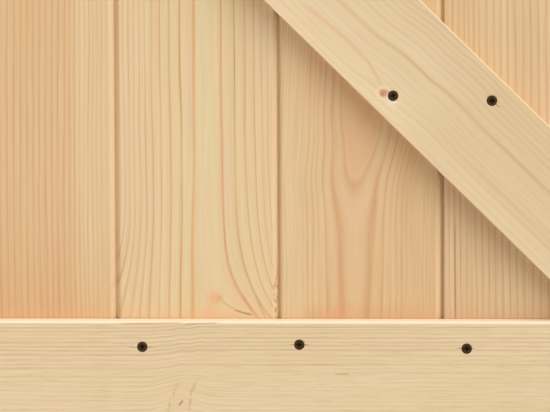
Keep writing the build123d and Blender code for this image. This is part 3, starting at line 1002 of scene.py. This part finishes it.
for node in braces:
    low, high = sizeOf(node)
    middle, half = (low + high) / 2, brace["wide"] / 2
    shape = bar((-brace["blank"], low.y, -half), (brace["blank"], high.y, half))
    bend(shape, along(0, lambda at: at.y < low.y + 1 and at.z > 0), brace["upperArris"], brace["steps"])
    bend(shape, along(0, lambda at: at.y < low.y + 1 and at.z < 0), brace["lowerArris"], brace["steps"])
    swing(shape, braceAngle, "Y")
    move(shape, (middle.x, 0, middle.z))
    shape = cut(shape, bar((low.x, low.y - 5, low.z), (high.x, high.y + 5, high.z)), "INTERSECT")
    shape = cut(shape, seats(node, low.y, braceAngle, brace["splitReach"]))
    turn = (0, -math.pi / 2 - braceAngle, 0)
    turned = Matrix.Rotation(turn[1], 3, "Y") @ middle
    shift = (-turned.x, -low.y, -turned.z)
    show(node + "_wood", shape, pineMaterial(node + "_pine", braceLooks[node], shift, turn), node)
print("rails and braces are made")

# Wood screws: countersunk, with a cross recess
screw = {
    "head": 4.1,
    "headDepth": 3.4,
    "neck": 1.9,
    "long": 30.0,
    "recess": 5.0,
    "slot": 1.5,
    "recessDepth": 3.0,
    "recessFloor": (0.62, 1, 0.75),  # its floor beside its mouth: length, depth and width
    "turned": 0.3,  # how far a screw's cross is turned from level, either way
}


def screwShape():
    head, neck = screw["head"], screw["neck"]
    shape = spun([(0, 0.12), (head - 0.9, 0.06), (head - 0.25, 0.1), (head, 0.35), (head - 0.15, 0.6),
                  (neck, screw["headDepth"]), (neck, 20), (neck - 0.4, 25), (0, screw["long"])], steps=32)
    length, width = screw["recess"] / 2, screw["slot"] / 2
    for quarter in range(2):
        arm = bar((-length, -1, -width), (length, screw["recessDepth"], width))
        floor = [vert for vert in arm.verts if vert.co.y > 0]
        bmesh.ops.scale(arm, vec=screw["recessFloor"], verts=floor)
        swing(arm, quarter * math.pi / 2, "Y")
        shape = cut(shape, arm)
    mesh = bpy.data.meshes.new("screw")
    shape.to_mesh(mesh)
    shape.free()
    return mesh


pattern = screwShape()


def screwsAt(node, down=False):  # driven into the front, or down from above
    draw = random.Random(node)
    made = bmesh.new()
    for low, high in boxesOf(node):
        one = bmesh.new()
        one.from_mesh(pattern)
        swing(one, draw.uniform(-screw["turned"], screw["turned"]), "Y")
        swing(one, math.radians(-90) if down else 0, "X")
        middle = (low + high) / 2
        move(one, (middle.x, middle.y, high.z) if down else (middle.x, low.y, middle.z))
        made = join(made, one)
    return made


def finish(name, colour, worn, roughness, shine, grain, depth, metallic=0.0):
    # A plain surface: grain is how wide the bumps of its texture are and depth how deep, in millimetres
    recipe = Recipe(name)
    x, y, z = recipe.place((0, 0, 0))
    texture = recipe.noise(x / grain, y / grain, z / grain, 3, 0.6)
    cloud = recipe.noise(x / 45, y / 45, z / 45, 2)
    tone = recipe.blendColours((texture - 0.35) * 0.5 + (cloud - 0.4) * 0.5, colour, worn)
    rough = recipe.maths("MINIMUM", (cloud - 0.5) * 0.16 + (texture - 0.5) * 0.1 + roughness, 1)
    bumps = recipe.bump(texture, depth * mm)
    return recipe.finish(tone, rough, bumps, Metallic=metallic, **{"Specular IOR Level": shine})


blackSteel = finish("powder_coat", (0.018, 0.018, 0.019, 1), (0.036, 0.036, 0.037, 1), 0.46, 0.5, 0.9, 0.05)
blackNylon = finish("moulded_nylon", (0.024, 0.024, 0.026, 1), (0.04, 0.04, 0.042, 1), 0.36, 0.45, 2.5, 0.02)
blackScrew = finish("black_phosphate", (0.05, 0.029, 0.010, 1), (0.085, 0.05, 0.02, 1), 0.5, 0.08, 0.5, 0.03)
blackRubber = finish("black_rubber", (0.016, 0.016, 0.016, 1), (0.045, 0.044, 0.042, 1), 0.82, 0.3, 0.5, 0.06)
bearingSteel = finish("bearing_steel", (0.56, 0.56, 0.55, 1), (0.4, 0.4, 0.39, 1), 0.28, 0.5, 0.4, 0.01, 1.0)

for node in [name + "_screws" for name in rails + braces]:
    show(node + "_driven", screwsAt(node), blackScrew, node)
show("block_screws", screwsAt("anti_jump_screws", down=True), blackSteel, "anti_jump_screws")
print("wood screws are made")

# Header board
header = {"easing": 2.0, "steps": 4, "hole": 4.5, "holeEnd": 60.0, "holeEdge": 25.0}
low, high = sizeOf("header_board")
shape = bend(bar(low, high), along(0, lambda at: at.y < low.y + 1), header["easing"], header["steps"])
holes = []
for x in (low.x + header["holeEnd"], high.x - header["holeEnd"]):
    for z in (low.z + header["holeEdge"], high.z - header["holeEdge"]):
        holes.append(drill(header["hole"], low.y - 1, high.y + 1, (x, 0, z)))
shape = cut(shape, join(*holes))
material = pineMaterial("header_pine", headerLook, (0, -low.y, -high.z), order="zyx", ends=(low.x, high.x))
show("header_wood", shape, material, "header_board")
print("header board is made")

# Hexagon heads with a turned chamfer on their outer side, along Y
hexHead = {"face": 0.93, "slope": 30, "spare": 0.5}


def hexagon(across, start, end, at):
    shape = bmesh.new()
    flat = across / 2
    corner = flat / math.cos(math.pi / 6)
    bmesh.ops.create_cone(shape, cap_ends=True, segments=6, radius1=corner, radius2=corner, depth=end - start)
    swing(shape, math.pi / 2, "X")
    swing(shape, math.pi / 6, "Y")
    move(shape, (0, (start + end) / 2, 0))
    face, wide = flat * hexHead["face"], corner + hexHead["spare"]
    rise = (wide - face) * math.tan(math.radians(hexHead["slope"]))
    turned = spun([(0, start), (face, start), (wide, start + rise), (wide, end), (0, end)])
    shape = cut(shape, turned, "INTERSECT")
    move(shape, at)
    return shape


# Hanger straps: round at the top, with their lower corners cut off
strap = {"wide": 40.0, "roundSteps": 24, "tail": 8.0, "screwHole": 4.3, "axleHole": 6.05, "easing": 0.5}
for side in ("left", "right"):
    node = side + "_hanger_strap"
    low, high = sizeOf(node)
    half = strap["wide"] / 2
    shape = bend(bar(low, high), along(1, lambda at: at.z > high.z - 1), half - 0.02, strap["roundSteps"])
    bend(shape, along(1, lambda at: at.z < low.z + 1), strap["tail"], 1)
    axle = Vector(((low.x + high.x) / 2, 0, high.z - half))
    holes = [drill(strap["axleHole"], low.y - 1, high.y + 1, axle, 48)]
    for place in middles("hanger_screws"):
        if abs(place.x - axle.x) < 1:
            holes.append(drill(strap["screwHole"], low.y - 1, high.y + 1, (place.x, 0, place.z)))
    shape = bend(cut(shape, join(*holes)), outer(), strap["easing"], 2)
    show(side + "_strap", shape, blackSteel, node)

# Bolts and screws with hexagon heads: the node of each, the head's width and height, the shank's radius
bolts = {
    "strap_screws": ("hanger_screws", 13.0, 5.5, 4.0),
    "rail_bolts": ("track_screws", 13.0, 5.5, 4.0),
    "clamp_screws": ("stop_set_screws", 10.0, 3.5, 3.0),
    "axles": ("axle_bolts", 18.0, 7.5, 6.0),
}
for name, (node, across, height, shank) in bolts.items():
    made = []
    for low, high in boxesOf(node):
        at, under = axisOf(low, high), low.y + height - 0.2  # a shank starts a little inside its head
        made.append(hexagon(across, low.y, low.y + height, at))
        made.append(spun([(0, under), (shank, under), (shank, high.y - 1), (shank - 1, high.y), (0, high.y)],
                         at, 24))
    show(name, join(*made), blackSteel, node, sharp=25)

# Lock nuts: a hexagon with a round collar that holds its locking ring. Depths are from the collar's end
nut = {
    "across": 18.0,
    "bore": 6.0,
    "collar": 8.2,
    "lip": 7.4,
    "lipDepth": 0.9,
    "hexDepth": 2.2,
    "collarDepth": 2.4,
}
made = []
for low, high in boxesOf("axle_nuts"):
    at, start, end = axisOf(low, high), high.y - nut["collarDepth"], high.y
    hexed = hexagon(nut["across"], low.y, end - nut["hexDepth"], at)
    made.append(cut(hexed, drill(nut["bore"], low.y - 1, end, at, 40)))
    made.append(spun([(nut["bore"], start), (nut["collar"], start), (nut["collar"], end - nut["lipDepth"]),
                      (nut["lip"], end), (nut["bore"], end)], at, 40))
show("lock_nuts", join(*made), blackSteel, "axle_nuts", sharp=25)

# Collars and spacers: the node of each, the inner and outer radius and the easing
rings = {"collars": ("axle_collars", 6.05, 9, 0.2), "spacers": ("track_spacers", 4.3, 10, 0.4)}
for name, (node, inside, outside, easing) in rings.items():
    made = []
    for low, high in boxesOf(node):
        points = [(inside, low.y), (outside, low.y), (outside, high.y), (inside, high.y), (inside, low.y)]
        made.append(bend(spun(points, axisOf(low, high)), outer(60), easing, 2))
    show(name, join(*made), blackSteel, node)

# Wheels, moulded, with a groove for the track
wheel = {"seat": 14.05, "rim": 45.0, "groove": 37.0, "grooveHalf": 3.6, "easing": 0.8, "steps": 96}
for side in ("left", "right"):
    node = side + "_wheel"
    low, high = sizeOf(node)
    middle, w = (low.y + high.y) / 2, wheel
    shape = spun([(w["seat"], low.y), (w["rim"], low.y), (w["groove"], middle - w["grooveHalf"]),
                  (w["groove"], middle + w["grooveHalf"]), (w["rim"], high.y), (w["seat"], high.y),
                  (w["seat"], low.y)], axisOf(low, high), w["steps"])
    show(side + "_roller", bend(shape, outer(40), w["easing"], 3), blackNylon, node, sharp=30)

# Sealed bearings: two races with a shield sunk between them
bearing = {
    "bore": 6.05,
    "inner": 8.5,  # where the inner race ends
    "outer": 11.4,  # where the outer race starts
    "outside": 14,
    "easing": 0.2,
    "edge": 0.3,
    "shield": 0.7,  # how deep the shield lies
}
made = []
for low, high in boxesOf("wheel_bearings"):
    b, e, a = bearing, bearing["easing"], low.y
    front = [(b["bore"], a), (b["inner"] - e, a), (b["inner"], a + e), (b["inner"], a + b["shield"]),
             (b["outer"], a + b["shield"]), (b["outer"], a + e), (b["outer"] + e, a),
             (b["outside"] - b["edge"], a), (b["outside"], a + b["edge"])]
    back = [(radius, a + high.y - depth) for radius, depth in reversed(front)]
    made.append(spun(front + back + [front[0]], axisOf(low, high), 64))
show("bearings", join(*made), bearingSteel, "wheel_bearings", sharp=25)


# Steel, nylon and rubber that keep their CAD shape
def eased(node, width):
    return bend(copyOf(node), outer(), width, 2)


show("flat_track", eased("track", 0.4), blackSteel, "track")
show("stops", eased("end_stops", 0.5), blackSteel, "end_stops")
show("guide", eased("floor_guide", 0.3), blackSteel, "floor_guide", sharp=30)
show("bumpers", eased("stop_bumpers", 0.5), blackRubber, "stop_bumpers")
show("jump_blocks", eased("anti_jump_blocks", 0.4), blackNylon, "anti_jump_blocks")
print("gear is made")

low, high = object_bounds()
{"cad": [list(cadLow), list(cadHigh)], "visual": [list(low), list(high)]}
